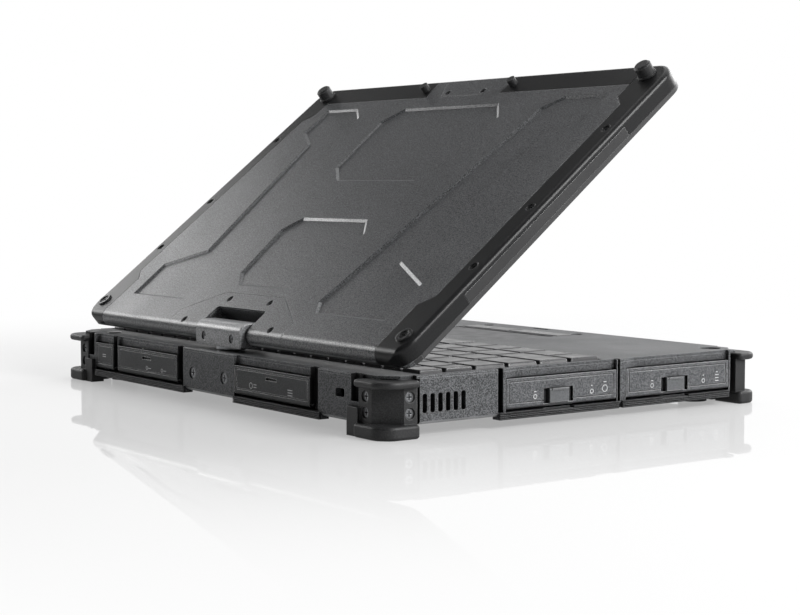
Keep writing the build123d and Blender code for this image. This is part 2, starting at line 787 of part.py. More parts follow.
# ---------------------------------------------------------------- swivel hinge
bearing = disc(0, hinge_y, bearing_bottom, case_top, swivel_flange_radius)
bearing -= disc(0, hinge_y, bearing_bottom - 1, case_top + 1, swivel_radius + swivel_play)
save(bearing, "swivel_bearing")

shaft = disc(0, hinge_y, bearing_bottom - 2.6, block_bottom, swivel_radius)
shaft += disc(0, hinge_y, bearing_bottom - 2.6, bearing_bottom - 0.3, swivel_flange_radius - 0.6)
shaft += disc(0, hinge_y, deck_height + 0.3, block_bottom, swivel_flange_radius)
save(shaft, "swivel_shaft")

half_block = block_width / 2
knuckle = block(-half_block, half_block, hinge_y - block_depth / 2, hinge_y + block_depth / 2, block_bottom, block_top)
top_edges = knuckle.faces().sort_by(Axis.Z)[-1].edges().filter_by(Axis.X)
knuckle = fillet(top_edges, block_corner)
knuckle = chamfer(knuckle.faces().sort_by(Axis.X)[-1].edges(), 0.5)
knuckle = chamfer(knuckle.faces().sort_by(Axis.X)[0].edges(), 0.5)
tilt_pin_seat = half_block - 13
tilt_pins = both_sides(rod_x(tilt_pin_seat, tilt_pin_reach, hinge_y, hinge_z, tilt_pin_radius))
block_screw_x = 13.0
block_screw_z = 32.6
block_screws = Part()
for x in (-block_screw_x, block_screw_x):
    place = Pos(x, hinge_y + block_depth / 2 - 0.6, block_screw_z) * Rot(-90, 0, 0)
    block_screws += place * screw(1.8, 1.2, 1.5)
    knuckle -= place * counterbore(1.8, 1.2, 1.5)
knuckle -= tilt_pins
save(knuckle, "hinge_block")
save(tilt_pins, "tilt_pins")
save(block_screws, "block_screws")

# ---------------------------------------------------------------- lid
# The lid is drawn closed. "Along" is the distance from its hinge edge, "deep" from its outer face.
barrel = lid_thickness / 2
lid_top_z = hinge_z + barrel
half_lid = lid_width / 2


def lid_y(along):
    """Place across the closed lid."""
    return hinge_y + barrel - along


def lid_z(deep):
    """Height in the closed lid."""
    return lid_top_z - deep


def lid_block(x0, x1, along0, along1, deep0, deep1):
    """Box in the closed lid."""
    return block(x0, x1, lid_y(along1), lid_y(along0), lid_z(deep1), lid_z(deep0))


def lid_prism(points, deep0, deep1):
    """Prism in the closed lid over an outline of (x, along) points."""
    outline = [(x, lid_y(along)) for x, along in points]
    return prism(outline, lid_z(deep1), lid_z(deep0))


def seamed(points, deep0, deep1):
    """The same prism shrunk all round by the seam that shows between two fitted panels."""
    outline = offset(plan_face([(x, lid_y(along)) for x, along in points], lid_z(deep1)), -panel_seam)
    return extrude(outline, amount=lid_z(deep0) - lid_z(deep1))


def lid_pin(x, along, deep0, deep1, radius):
    """Cylinder square to the closed lid."""
    return disc(x, lid_y(along), lid_z(deep1), lid_z(deep0), radius)


def lid_shape(inset):
    """Lid envelope shrunk by an inset all round: rounded corners and a full-round hinge edge."""
    width = lid_width - 2 * inset
    length = lid_length - 2 * inset
    middle = Pos(0, lid_y(lid_length / 2), lid_z(lid_thickness - inset))
    slab = extrude(middle * RectangleRounded(width, length, lid_corner - inset), lid_thickness - 2 * inset)
    slab = fillet(slab.faces().sort_by(Axis.Z)[-1].edges(), max(lid_edge_rounding - inset, 0.4))
    round_edge = rod_x(-half_lid, half_lid, lid_y(barrel), lid_z(barrel), barrel - inset)
    flat_part = lid_block(-half_lid, half_lid, barrel, lid_length, 0, lid_thickness)
    return slab & (flat_part + round_edge)


def opened(shape):
    """Turn a closed-lid shape about the tilt axis to the stored angle."""
    return shape.rotate(Axis((0, hinge_y, hinge_z), (-1, 0, 0)), open_angle)


def save_lid(shape, name):
    """Write a lid piece at the stored angle."""
    save(opened(shape), name)


envelope = lid_shape(0)
skin = envelope - lid_shape(strip_thickness)
bezel_deep = lid_thickness - bezel_thickness
top_edge = lid_length
wide = half_lid + 1

side_strip_outline = [
    (127.5, -1), (127.5, 31), (134.5, 37.4), (134.5, 174), (127.5, 180.5), (127.5, top_edge + 1),
    (wide, top_edge + 1), (wide, -1),
]
side_strip_room = skin & lid_prism(side_strip_outline, 0, bezel_deep)
side_strip = skin & seamed(side_strip_outline, 0, bezel_deep)
side_strip -= lid_block(half_lid - strip_thickness - 0.1, wide, 43 - panel_seam, 161 + panel_seam,
                        3.2 - panel_seam, bezel_deep + 0.1)
strip_screw_x = 140.5
strip_screw_along = (57.8, 98.8, 156.0)
boss_x = 139.0
boss_along = 12.0
side_strip += lid_pin(boss_x, boss_along, -0.8, 0.5, 4.0)

top_strip_outline = [(31, 190.5), (127.5, 190.5), (127.5, top_edge + 1), (34, top_edge + 1)]
top_strip_room = skin & lid_prism(top_strip_outline, 0, bezel_deep)
top_strip = skin & seamed(top_strip_outline, 0, bezel_deep)

tongue_outline = [(-18, 190.3), (18, 190.3), (26, top_edge + 1), (-26, top_edge + 1)]
tongue_room = skin & lid_prism(tongue_outline, 0, bezel_deep)
tongue = skin & seamed(tongue_outline, 0, bezel_deep)
tongue_screw_x = 15.0
tongue_screw_along = 193.7

hinge_cover_outline = [(-27, 27.4), (27, 27.4), (53, 12), (53.5, -1), (-53.5, -1), (-53, 12)]
hinge_skin = envelope - lid_shape(hinge_cover_thickness)
hinge_cover_room = hinge_skin & lid_prism(hinge_cover_outline, 0, barrel)
hinge_cover = hinge_skin & seamed(hinge_cover_outline, 0, barrel)
notch_rounding = 2.5
notch = lid_block(-notch_half_width, notch_half_width, -1, notch_length, -1, lid_thickness + 1)
notch = fillet(notch.edges().filter_by(Axis.Z).group_by(Axis.Y)[0], notch_rounding)
hinge_cover -= notch
cover_screw_places = [(18.7, 22.8), (40.8, 5.5)]

bracket_inset = hinge_cover_thickness + 0.05
bracket_room = lid_shape(bracket_inset) & lid_block(24.2, 52.5, 0, barrel_land, 0, lid_thickness)
pin_room = rod_x(0, tilt_pin_reach + 0.3, hinge_y, hinge_z, tilt_pin_radius + tilt_play)

# Each lid screw: its place on the right half, head radius and depth below the outer face.
right_screws = [(strip_screw_x, along, 1.9, 0.5) for along in strip_screw_along]
right_screws += [(x, along, 1.6, 0.6) for x, along in cover_screw_places]
right_screws += [(tongue_screw_x, tongue_screw_along, 1.5, 0.5), (boss_x, boss_along, 2.2, -0.4)]


def lid_screw_set(make):
    """Every screw in the lid's outer face, made by the given function."""
    group = Part()
    for x, along, radius, sunk in right_screws:
        group += Pos(x, lid_y(along), lid_z(sunk)) * make(radius, 0.9, 1.2)
    return both_sides(group)


latch_half = 8.0
latch_travel_x = 2.4
latch_low = 3.4
latch_high = 6.6
latch_seat = 1.2
thumb_room = lid_block(
    -latch_half - latch_play, latch_half + latch_travel_x + latch_play,
    lid_length - latch_seat - latch_play, lid_length + 1, latch_low - latch_play, latch_high + latch_play)
lid_screw_rooms = lid_screw_set(counterbore)
brackets = both_sides(bracket_room - pin_room) - lid_screw_rooms
side_strips = both_sides(side_strip) - lid_screw_rooms
top_strips = both_sides(top_strip)
tongue = tongue - lid_screw_rooms - thumb_room
hinge_cover = hinge_cover - lid_screw_rooms
hinge_cover -= both_sides(rod_x(0, notch_half_width + 3, hinge_y, hinge_z, tilt_pin_radius + 0.4))

bezel_zone = lid_block(-wide, wide, barrel_land, top_edge + 1, bezel_deep, lid_thickness + 1)
cover_shell = envelope - bezel_zone
cavity_half = half_lid - lid_wall
cavity = lid_block(-cavity_half, cavity_half, 13, lid_length - lid_wall, lid_floor, bezel_deep + 1)
cavity = fillet(cavity.edges().filter_by(Axis.Z), 7)
cavity -= lid_block(-31, 31, 0, 22, 0, lid_thickness)
cover_shell -= cavity
side_window = lid_block(half_lid - strip_thickness - 0.1, wide, 43, 161, 3.2, bezel_deep + 0.1)
cover_shell -= both_sides(side_strip_room - side_window)
cover_shell -= both_sides(top_strip_room)
cover_shell -= tongue_room
cover_shell -= hinge_cover_room
cover_shell -= both_sides(bracket_room)
cover_shell -= notch
cover_shell -= both_sides(rod_x(0, notch_half_width + 3, hinge_y, hinge_z, tilt_pin_radius + 0.4))
cover_shell -= lid_screw_rooms

bracket_relief = [
    (118.5, 184), (88.5, 184), (77.5, 175), (56, 27), (62, 19.3), (116.5, 19.3),
    (117.5, 44.5), (88, 58), (101.5, 151), (119, 162),
]
top_relief = [(-40, 181.2), (40, 181.2), (51, 169.5), (48, 129), (34, 117.8), (-34, 117.8), (-48, 129), (-51, 169.5)]
low_relief = [(-28.5, 87), (28.5, 87), (38, 76.6), (33.5, 42), (24, 33.2), (-24, 33.2), (-33.5, 42), (-38, 76.6)]


def relief(points):
    """Shallow pressed panel with sloping walls, sunk into the outer face."""
    outline = [(x, lid_y(along)) for x, along in points]
    return extrude(plan_face(outline, lid_z(0)), amount=-relief_depth, taper=relief_taper)


cover_shell -= both_sides(relief(bracket_relief))
cover_shell -= relief(top_relief)
cover_shell -= relief(low_relief)
save_lid(cover_shell, "lid_cover")
save_lid(side_strips, "side_strips")
save_lid(top_strips, "top_strips")
save_lid(tongue, "latch_plate")
save_lid(hinge_cover, "hinge_cover")
save_lid(brackets, "hinge_brackets")
save_lid(lid_screw_set(screw), "lid_screws")

pegs = lid_pin(peg_across, lid_length - peg_from_top, -1.2, 0, peg_radius + 0.6)
tall = lid_pin(peg_across, lid_length - peg_from_top, -peg_height, -1, peg_radius)
pegs += chamfer(tall.faces().sort_by(Axis.Z)[-1].edges(), 0.9)
pegs += lid_pin(small_peg_across, lid_length - peg_from_top, -small_peg_height, 0, small_peg_radius)
save_lid(both_sides(pegs), "lid_pegs")

# ---------------------------------------------------------------- display
bezel = envelope & bezel_zone
screen_half = screen_width / 2
screen_top = screen_bottom + screen_height
bezel -= lid_block(-screen_half, screen_half, screen_bottom, screen_top, bezel_deep - 1, lid_thickness + 1)
bezel -= notch
pad_along = lid_length - 6
for x in (-118, 118):
    bezel += lid_pin(x, pad_along, lid_thickness, lid_thickness + 1.8, 3)
camera_along = (screen_top + lid_length) / 2 - 1
bezel -= lid_pin(0, camera_along, bezel_deep - 1, lid_thickness + 1, 3)
button_along = screen_bottom - 7.5
button_places = [58 + index * 11 for index in range(5)]
for x in button_places:
    bezel -= lid_block(x - 3.8, x + 3.8, button_along - 2.3, button_along + 2.3, bezel_deep - 1, lid_thickness + 1)
save_lid(bezel, "lid_bezel")

glass_deep = bezel_deep - glass_thickness
glass_x = screen_half + 3
glass_low = screen_bottom - 1
glass_high = screen_top + 3
glass = lid_block(-glass_x, glass_x, glass_low, glass_high, glass_deep, bezel_deep)
save_lid(glass, "display_glass")
panel = lid_block(-glass_x, glass_x, glass_low, glass_high, lid_floor + 0.1, glass_deep)
save_lid(panel, "display_panel")

camera = lid_pin(0, camera_along, bezel_deep - 2.4, lid_thickness - 0.4, 2.9)
camera -= lid_pin(0, camera_along, lid_thickness - 0.9, lid_thickness, 1.5)
save_lid(camera, "camera_module")

bezel_buttons = Part()
for x in button_places:
    cap = lid_block(x - 3.5, x + 3.5, button_along - 2.0, button_along + 2.0, bezel_deep - 0.9, lid_thickness + 0.4)
    lip = lid_block(x - 4.2, x + 4.2, button_along - 2.7, button_along + 2.7, bezel_deep - 0.9, bezel_deep - 0.1)
    bezel_buttons += cap + lip
save_lid(bezel_buttons, "bezel_buttons")

thumb_latch = lid_block(-latch_half, latch_half, top_edge - latch_seat, top_edge + 1.4, latch_low, latch_high)
thumb_latch = chamfer(thumb_latch.faces().sort_by(Axis.Y)[0].edges(), 0.5)
save_lid(thumb_latch, "lid_latch")
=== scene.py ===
import math

import bmesh
import bpy
from mathutils import Matrix, Vector


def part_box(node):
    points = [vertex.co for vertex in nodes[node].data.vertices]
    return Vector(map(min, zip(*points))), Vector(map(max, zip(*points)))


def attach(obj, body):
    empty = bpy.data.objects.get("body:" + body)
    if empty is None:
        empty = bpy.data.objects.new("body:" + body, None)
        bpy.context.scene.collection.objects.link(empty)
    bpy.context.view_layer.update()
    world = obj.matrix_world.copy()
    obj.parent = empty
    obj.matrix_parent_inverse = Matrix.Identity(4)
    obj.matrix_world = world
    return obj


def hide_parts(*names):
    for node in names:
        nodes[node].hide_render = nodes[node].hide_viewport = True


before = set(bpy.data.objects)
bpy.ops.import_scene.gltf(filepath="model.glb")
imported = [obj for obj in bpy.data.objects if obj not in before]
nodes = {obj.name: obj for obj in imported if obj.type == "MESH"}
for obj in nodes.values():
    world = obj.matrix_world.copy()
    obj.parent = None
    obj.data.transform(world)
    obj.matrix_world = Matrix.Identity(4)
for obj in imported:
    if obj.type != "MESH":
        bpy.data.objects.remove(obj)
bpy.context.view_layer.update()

# ------------------------------------------------------------------ bottom case and deck
# Two die-cast magnesium shells that meet just under the deck's edge. Both are shot-blasted and
# coated with a hard, dark grey texture paint that sparkles a little. Its sharp edges are pale, partly
# rubbed wear and partly a painted highlight; its downward chamfers carry a painted highlight and its
# recesses painted shade. The ribbed sills under the doors are black mouldings bonded to the walls.
case_low = "#2d2e2f"
case_high = "#626365"
# Pale colour for the edges, partly wear and partly a painted highlight, and for the painted highlight on
# downward chamfers.
case_wear_and_highlight = "#a4a5a6"
trim_black = "#1a1a1b"
case_trim = (0.14665, 0.10865)
# How far down a lower chamfer faces. These faces take the pale edge colour as a painted highlight, standing
# in for the floor's reflection.
lower_chamfer = -0.707
chamfer_play = 0.08


def linear(hex_colour):
    """sRGB hex colour as linear RGBA."""
    parts = [int(hex_colour[i:i + 2], 16) / 255 for i in (1, 3, 5)]
    return [p / 12.92 if p <= 0.04045 else ((p + 0.055) / 1.055) ** 2.4 for p in parts] + [1.0]


def add(tree, kind, settings=None, inputs=None):
    """New node with its settings, its input values and its incoming links."""
    node = tree.nodes.new(kind)
    for key, value in (settings or {}).items():
        setattr(node, key, value)
    for key, value in (inputs or {}).items():
        if isinstance(value, bpy.types.NodeSocket):
            tree.links.new(value, node.inputs[key])
        else:
            node.inputs[key].default_value = value
    return node


def start_material(name):
    """Empty material with its tree and its Object coordinates."""
    material = bpy.data.materials.new(name)
    material.use_nodes = True
    tree = material.node_tree
    tree.nodes.clear()
    return material, tree, add(tree, "ShaderNodeTexCoord").outputs["Object"]


def noise(tree, place, size_mm, detail):
    """Noise whose spots are a given size in millimetres."""
    return add(tree, "ShaderNodeTexNoise", inputs={
        "Vector": place, "Scale": 1000 / size_mm, "Detail": detail}).outputs["Fac"]


def rounded_normal(tree, radius_mm):
    """Normals that run round the edges at a small radius."""
    return add(tree, "ShaderNodeBevel", {"samples": 4}, {"Radius": radius_mm / 1000}).outputs["Normal"]


def edge_share(tree, rounded, first, last, strongest):
    """A factor that picks out the edges, where the rounded normal leaves the surface's own."""
    flat = add(tree, "ShaderNodeNewGeometry").outputs["Normal"]
    facing = add(tree, "ShaderNodeVectorMath", {"operation": "DOT_PRODUCT"}, {0: rounded, 1: flat})
    share = add(tree, "ShaderNodeMapRange", inputs={
        "Value": facing.outputs["Value"], "From Min": first, "From Max": last,
        "To Min": 0.0, "To Max": strongest})
    return share.outputs["Result"]


def painted_crevice_shade(tree, colour, reach_mm, darkest):
    """The colour, darkened in seams and recesses by an ambient occlusion lookup: painted shade."""
    clear = add(tree, "ShaderNodeAmbientOcclusion", {"samples": 4}, {"Distance": reach_mm / 1000})
    shade = add(tree, "ShaderNodeMapRange", inputs={
        "Value": clear.outputs["AO"], "From Min": 0.3, "From Max": 0.85,
        "To Min": darkest, "To Max": 1.0})
    shaded = add(tree, "ShaderNodeVectorMath", {"operation": "SCALE"},
                 {0: colour, "Scale": shade.outputs["Result"]})
    return shaded.outputs["Vector"]


def finish_material(tree, colour, roughness, normal, specular=0.5, metallic=0.0):
    """Ends a material in its shader."""
    surface = add(tree, "ShaderNodeBsdfPrincipled", inputs={
        "Base Color": colour, "Roughness": roughness, "Normal": normal,
        "Specular IOR Level": specular, "Metallic": metallic})
    add(tree, "ShaderNodeOutputMaterial", inputs={"Surface": surface.outputs["BSDF"]})


def texture_paint(name, low, high, edge_wear_and_highlight_colour, grain_mm, bump_mm, gloss,
                  specular=0.5, trim=None, edge_wear_and_highlight_strength=0.75):
    """Sprayed texture paint: two shades of grain, slow patches of polish, edges that are pale partly from
    rubbed wear and partly as a painted highlight, and painted shade in recesses.

    Past the trim's reaches from the middle, in metres along X and Y, the finish is black trim.
    """
    material, tree, place = start_material(name)
    grain = noise(tree, place, grain_mm, 2.0)
    patches = noise(tree, place, 38, 3.0)
    ramp = add(tree, "ShaderNodeValToRGB", inputs={"Fac": grain})
    ramp.color_ramp.elements[0].position = 0.38
    ramp.color_ramp.elements[0].color = linear(low)
    ramp.color_ramp.elements[1].position = 0.64
    ramp.color_ramp.elements[1].color = linear(high)
    paint = ramp.outputs["Color"]
    if trim:
        apart = add(tree, "ShaderNodeSeparateXYZ", inputs={"Vector": place})
        past = []
        for axis, limit in zip("XY", trim):
            size = add(tree, "ShaderNodeMath", {"operation": "ABSOLUTE"}, {0: apart.outputs[axis]})
            past.append(add(tree, "ShaderNodeMath", {"operation": "GREATER_THAN"},
                            {0: size.outputs[0], 1: limit}))
        stands_out = add(tree, "ShaderNodeMath", {"operation": "MAXIMUM"},
                         {0: past[0].outputs[0], 1: past[1].outputs[0]})
        paint = add(tree, "ShaderNodeMix", {"data_type": "RGBA"},
                    {0: stands_out.outputs[0], 6: paint, 7: linear(trim_black)}).outputs["Result"]
    rounded = rounded_normal(tree, 0.5)
    # Pale edges: partly rubbed wear, partly a painted highlight.
    edge = edge_share(tree, rounded, 0.97, 0.80, edge_wear_and_highlight_strength)
    facing = add(tree, "ShaderNodeNewGeometry").outputs["True Normal"]
    down = add(tree, "ShaderNodeSeparateXYZ", inputs={"Vector": facing}).outputs["Z"]
    # Downward chamfers: the pale colour as a painted highlight, in place of the floor's reflection.
    chamfer_glint = add(tree, "ShaderNodeMath", {"operation": "COMPARE"},
               {0: down, 1: lower_chamfer, 2: chamfer_play})
    wear_and_glint_mask = add(tree, "ShaderNodeMath", {"operation": "MAXIMUM"}, {0: edge, 1: chamfer_glint.outputs[0]})
    wear_and_glint_share = add(tree, "ShaderNodeMath", {"operation": "MULTIPLY"}, {0: wear_and_glint_mask.outputs[0], 1: patches})
    colour = add(tree, "ShaderNodeMix", {"data_type": "RGBA"},
                 {0: wear_and_glint_share.outputs[0], 6: paint, 7: linear(edge_wear_and_highlight_colour)})
    # Painted shade: the colour darkens in seams and recesses.
    shaded = painted_crevice_shade(tree, colour.outputs["Result"], 5.0, 0.02)
    roughness = add(tree, "ShaderNodeMapRange", inputs={
        "Value": patches, "From Min": 0.3, "From Max": 0.7, "To Min": gloss - 0.05, "To Max": gloss + 0.05})
    bump = add(tree, "ShaderNodeBump", inputs={
        "Height": grain, "Normal": rounded, "Strength": 0.7, "Distance": bump_mm / 1000})
    finish_material(tree, shaded, roughness.outputs["Result"], bump.outputs["Normal"], specular)
    return material


def dress(material, *names):
    """Gives CAD nodes their finish."""
    for name in names:
        mesh = nodes[name].data
        mesh.materials.clear()
        mesh.materials.append(material)


# The paint's grain is about 0.3 mm and is drawn at 0.55 mm so that it shows as a fine speckle.
case_paint = texture_paint("texture_paint_on_magnesium", case_low, case_high, case_wear_and_highlight,
                           0.55, 0.05, 0.42, 0.12, case_trim)
dress(case_paint, "bottom_case", "top_cover")

# ------------------------------------------------------------------ doors and covers
# The three side doors are die-cast and painted like the case. The three rear covers are moulded
# in a darker, softer plastic, because they bend over their sockets' seals. Their edges are pale,
# partly wear and partly a painted highlight, strongest on the covers.
door_paint = texture_paint("texture_paint_on_doors", "#313234", "#626365", "#cfd0d1",
                           0.55, 0.04, 0.42, 0.2, edge_wear_and_highlight_strength=1.2)
cover_plastic = texture_paint("moulded_cover_plastic", "#202122", "#3c3d3e", "#e4e4e5",
                              0.6, 0.04, 0.45, 0.2, edge_wear_and_highlight_strength=1.6)
dress(door_paint, "drive_door", "battery_door", "media_door")
dress(cover_plastic, "dc_cover", "port_left_cover", "port_right_cover")

# ------------------------------------------------------------------ slide latches
# Small moulded sliders with a ridge for the thumb. They are smoother than the doors, and their
# edges are pale, partly polished by fingers and partly a painted highlight.
latch_plastic = texture_paint("moulded_latch_plastic", "#3f4042", "#585a5c", "#d6d7d8", 0.5, 0.02, 0.36)
dress(latch_plastic, "drive_latch", "battery_latch", "media_latch", "lid_latch")

# ------------------------------------------------------------------ marks beside the latches
# Pale printed rings and bars beside each latch and on each cover. They are pad-printed in light
# grey ink on the doors' faces, and stand 0.03 mm proud so that they show.
ink, ink_tree, ink_place = start_material("pad_printed_ink")
ink_proud = 0.00003
ring_line_mm = 0.35
ring_steps = 20
bar_half_height = 0.0002
ink_wear = add(ink_tree, "ShaderNodeMapRange", inputs={
    "Value": noise(ink_tree, ink_place, 0.6, 2.0), "From Min": 0.3, "From Max": 0.6,
    "To Min": 0.55, "To Max": 1.0})
ink_colour = add(ink_tree, "ShaderNodeVectorMath", {"operation": "SCALE"},
                 {0: linear("#b9babb")[:3], "Scale": ink_wear.outputs["Result"]})
ink_grain = add(ink_tree, "ShaderNodeBump", inputs={
    "Height": noise(ink_tree, ink_place, 0.4, 2.0), "Strength": 0.3, "Distance": 0.00002})
finish_material(ink_tree, ink_colour.outputs["Vector"], 0.5, ink_grain.outputs["Normal"])


def link_piece(name, mesh):
    """New object for a mesh."""
    piece = bpy.data.objects.new(name, mesh)
    bpy.context.collection.objects.link(piece)
    return piece


def printed_marks(node_name, body, out, along, shapes):
    """Flat marks on a door's face: each is a ring or a bar, with its place, height and size in mm."""
    low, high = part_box(node_name)
    face = max(low, high, key=lambda corner: Vector(corner).dot(out))
    ink_mesh = bmesh.new()
    up = Vector((0, 0, 1))
    for kind, at, level, size in shapes:
        centre = along * (at / 1000) + up * (level / 1000)
        centre += out * (Vector(face).dot(out) + ink_proud)
        if kind == "ring":
            outer = []
            inner = []
            for index in range(ring_steps):
                angle = 2 * math.pi * index / ring_steps
                spoke = along * math.cos(angle) + up * math.sin(angle)
                outer.append(ink_mesh.verts.new(centre + spoke * size / 1000))
                inner.append(ink_mesh.verts.new(centre + spoke * (size - ring_line_mm) / 1000))
            for index in range(ring_steps):
                after = (index + 1) % ring_steps
                ink_mesh.faces.new((outer[index], outer[after], inner[after], inner[index]))
        else:
            half = along * (size / 1000)
            tall = up * bar_half_height
            corners = [centre - half - tall, centre + half - tall,
                       centre + half + tall, centre - half + tall]
            ink_mesh.faces.new([ink_mesh.verts.new(corner) for corner in corners])
    for face_made in ink_mesh.faces:
        face_made.normal_update()
        if face_made.normal.dot(out) < 0:
            face_made.normal_flip()
    mesh = bpy.data.meshes.new(node_name + "_marks")
    ink_mesh.to_mesh(mesh)
    ink_mesh.free()
    mesh.materials.append(ink)
    piece = link_piece(node_name + "_marks", mesh)
    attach(piece, body)


to_left = Vector((-1, 0, 0))
to_rear = Vector((0, 1, 0))
along_side = Vector((0, 1, 0))
along_rear = Vector((1, 0, 0))
printed_marks("drive_door", "drive_door_body", to_left, along_side, [
    ("ring", 26.8, 12.8, 1.1), ("bar", 26.8, 15.0, 0.7), ("ring", -7.0, 12.8, 1.1),
    ("bar", -7.0, 15.4, 0.5), ("ring", -15.0, 13.6, 1.7), ("bar", -15.0, 16.6, 1.0)])
printed_marks("battery_door", "battery_door_body", to_left, along_side, [
    ("ring", -45.0, 12.8, 1.1), ("bar", -45.0, 15.0, 0.7), ("ring", -79.0, 12.8, 1.1),
    ("bar", -79.0, 15.4, 0.5), ("bar", -88.3, 12.2, 1.2), ("bar", -88.3, 13.6, 1.2),
    ("bar", -88.3, 15.0, 1.2), ("bar", -88.3, 16.4, 0.6)])
printed_marks("dc_cover", "dc_cover_body", to_rear, along_rear, [
    ("bar", 110.0, 14.6, 1.9), ("bar", 110.0, 15.7, 1.9)])
printed_marks("port_left_cover", "port_left_cover_body", to_rear, along_rear, [
    ("ring", 62.0, 12.6, 1.0), ("bar", 59.0, 12.6, 1.4), ("ring", 46.0, 12.6, 1.0),
    ("bar", 43.0, 12.6, 1.4)])
printed_marks("port_right_cover", "port_right_cover_body", to_rear, along_rear, [
    ("ring", -40.0, 13.2, 1.5), ("bar", -43.6, 13.9, 1.3), ("bar", -43.6, 12.7, 1.3),
    ("bar", -73.5, 14.2, 2.0), ("bar", -73.5, 13.0, 2.0), ("bar", -73.5, 11.8, 2.0)])

# ------------------------------------------------------------------ corner bumpers and feet
# Hard black rubber mouldings, each held by cross-head screws through its waist. They have a fine
# spark-eroded mould texture and pale edges, partly scuffs where they take the knocks and partly a
# painted highlight, with painted shade in their recesses.


def moulded_rubber(name, base, scuff_and_highlight_colour, grain_mm, roughness, specular):
    """Black moulded rubber with pale edges, partly scuffs and partly a painted highlight."""
    material, tree, place = start_material(name)
    grain = noise(tree, place, grain_mm, 3.0)
    patches = noise(tree, place, 8, 3.0)
    rounded = rounded_normal(tree, 0.6)
    # Pale edges: partly scuffs, partly a painted highlight.
    edge = edge_share(tree, rounded, 0.985, 0.82, 0.9)
    scuff_and_glint_share = add(tree, "ShaderNodeMath", {"operation": "MULTIPLY"}, {0: edge, 1: patches})
    tint = add(tree, "ShaderNodeMapRange", inputs={
        "Value": grain, "From Min": 0.35, "From Max": 0.7, "To Min": 0.0, "To Max": 0.1})
    mottled = add(tree, "ShaderNodeMix", {"data_type": "RGBA"},
                  {0: tint.outputs["Result"], 6: linear(base), 7: linear(scuff_and_highlight_colour)})
    colour = add(tree, "ShaderNodeMix", {"data_type": "RGBA"},
                 {0: scuff_and_glint_share.outputs[0], 6: mottled.outputs["Result"], 7: linear(scuff_and_highlight_colour)})
    # Painted shade: the colour darkens in seams and recesses.
    shaded = painted_crevice_shade(tree, colour.outputs["Result"], 3.0, 0.1)
    bump = add(tree, "ShaderNodeBump", inputs={
        "Height": grain, "Normal": rounded, "Strength": 0.4, "Distance": 0.00005})
    finish_material(tree, shaded, roughness, bump.outputs["Normal"], specular)
    return material


bumper_rubber = moulded_rubber("moulded_rubber", "#131314", "#7c7d7e", 0.5, 0.5, 0.3)
dress(bumper_rubber, "bumper_front_left", "bumper_front_right", "bumper_rear_left", "bumper_rear_right",
      "rubber_feet", "lid_pegs")

# ------------------------------------------------------------------ painted shade in the wall joints
# Black channels in the upright joints between the wall's panels and doors: painted shade, a dark
# lining where the joints hold deep shadow. They line each joint's floor and sides, and stop above
# the doors' hinge pins.
gap_shade_rubber = moulded_rubber("gap_shade_rubber", "#0b0b0c", "#2c2c2d", 0.5, 0.6, 0.15)
shade_liner_skin = 0.00025
shade_liner_clearance = 0.00003
shade_liner_back = -0.00285
shade_liner_lip = -0.0003
shade_liner_low = 0.0103
shade_liner_high = 0.0262
panel_low = 0.0146
rear_wall = 0.1085
left_wall = 0.1465


def wall_gap_shade(name, face, along, out, joints):
    """Dark channels of painted shade in the joints of one wall: each joint is its two ends along the wall
    and its low end.
    """
    work = bmesh.new()
    for start, end, low in joints:
        west = start + shade_liner_clearance
        east = end - shade_liner_clearance
        plan = [(west, shade_liner_lip), (west, shade_liner_back), (east, shade_liner_back), (east, shade_liner_lip),
                (east - shade_liner_skin, shade_liner_lip), (east - shade_liner_skin, shade_liner_back + shade_liner_skin),
                (west + shade_liner_skin, shade_liner_back + shade_liner_skin), (west + shade_liner_skin, shade_liner_lip)]
        rings = []
        for level in (low, shade_liner_high):
            rings.append([work.verts.new(along * a + out * (face + b) + Vector((0, 0, level)))
                          for a, b in plan])
        work.faces.new(rings[0])
        work.faces.new(rings[1])
        for index in range(len(plan)):
            after = (index + 1) % len(plan)
            work.faces.new((rings[0][index], rings[0][after], rings[1][after], rings[1][index]))
    bmesh.ops.recalc_face_normals(work, faces=work.faces)
    mesh = bpy.data.meshes.new(name)
    work.to_mesh(mesh)
    work.free()
    mesh.materials.append(gap_shade_rubber)
    piece = link_piece(name, mesh)
    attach(piece, "base")


wall_gap_shade("rear_wall_gap_shade", rear_wall, along_rear, to_rear, [
    (-0.128, -0.1215, panel_low), (-0.0963, -0.0896, shade_liner_low), (0.024, 0.030, shade_liner_low),
    (0.0946, 0.0994, shade_liner_low), (0.1215, 0.128, panel_low)])
wall_gap_shade("left_wall_gap_shade", left_wall, along_side, to_left, [
    (-0.0246, -0.023, shade_liner_low), (0.0451, 0.0481, shade_liner_low)])

# ------------------------------------------------------------------ lid shell and hinge cover
# The lid's back is one casting with shallow sunk panels, in the case's paint but a little darker
# and glossier, with black bands along its two sides. As on the case, its edges are pale, partly wear
# and partly a painted highlight, its downward chamfers carry a painted highlight and its recesses
# painted shade. The cast cover over the hinge is screwed into it through four deep counterbores.
lid_trim = (0.1452, 1.0)
lid_paint = texture_paint("texture_paint_on_lid", "#202122", "#626365", "#a8a9aa",
                          0.6, 0.06, 0.34, 0.5, lid_trim)
dress(lid_paint, "lid_cover", "hinge_cover", "latch_plate")

# ------------------------------------------------------------------ lid strips
# Smooth black mouldings clipped round the lid's sides and top edge. Their finer mould texture
# looks almost plain, with a soft sheen along the rounded corners, partly from the lamps and partly
# a paler edge colour painted on as a highlight, and painted shade in their recesses.
strip_rubber = moulded_rubber("strip_moulding", "#101011", "#4d4e4f", 0.5, 0.34, 0.2)
dress(strip_rubber, "side_strips", "top_strips")

